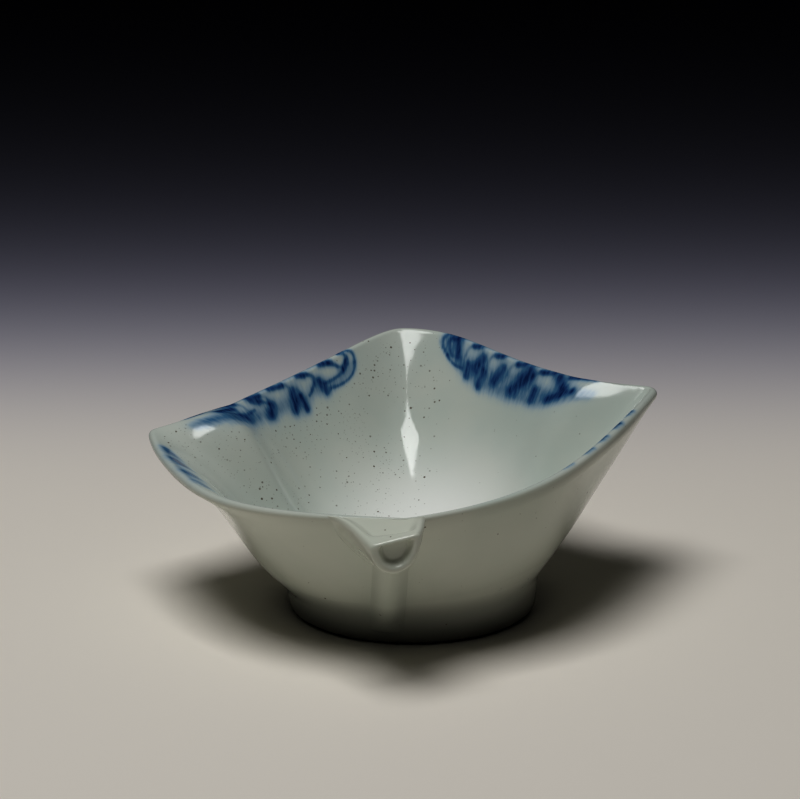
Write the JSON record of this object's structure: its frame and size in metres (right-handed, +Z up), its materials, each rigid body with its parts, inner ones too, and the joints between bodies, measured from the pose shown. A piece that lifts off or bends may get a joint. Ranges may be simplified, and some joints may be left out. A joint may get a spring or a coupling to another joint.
{
  "type": "pickle dish",
  "caption": "Small deep leaf-shaped glazed porcelain dish for pickles, with a wavy rim, a short leaf stalk at one corner, a rib below the stalk and a low round foot.",
  "frame": {"origin": "middle of the whole dish's box in X and Y, on the plane that the foot stands on", "axes": "+Z up, +Y towards the tip of the leaf, -Y towards its stalk, +X from the lower side corner to the higher one"},
  "size_m": [0.0938, 0.0902, 0.0415],
  "materials": {
    "bowl_glaze": "glossy bluish white glaze over porcelain, with blue painting under it",
    "foot_glaze": "glossy bluish white glaze, wiped off the bottom edge",
    "stub_glaze": "glossy bluish white glaze",
    "rib_glaze": "glossy bluish white glaze"
  },
  "bodies": {
    "root": {"bowl": "bowl_glaze", "foot_ring": "foot_glaze", "stalk_stub": "stub_glaze", "stalk_rib": "rib_glaze"}
  },
  "joints": []
}
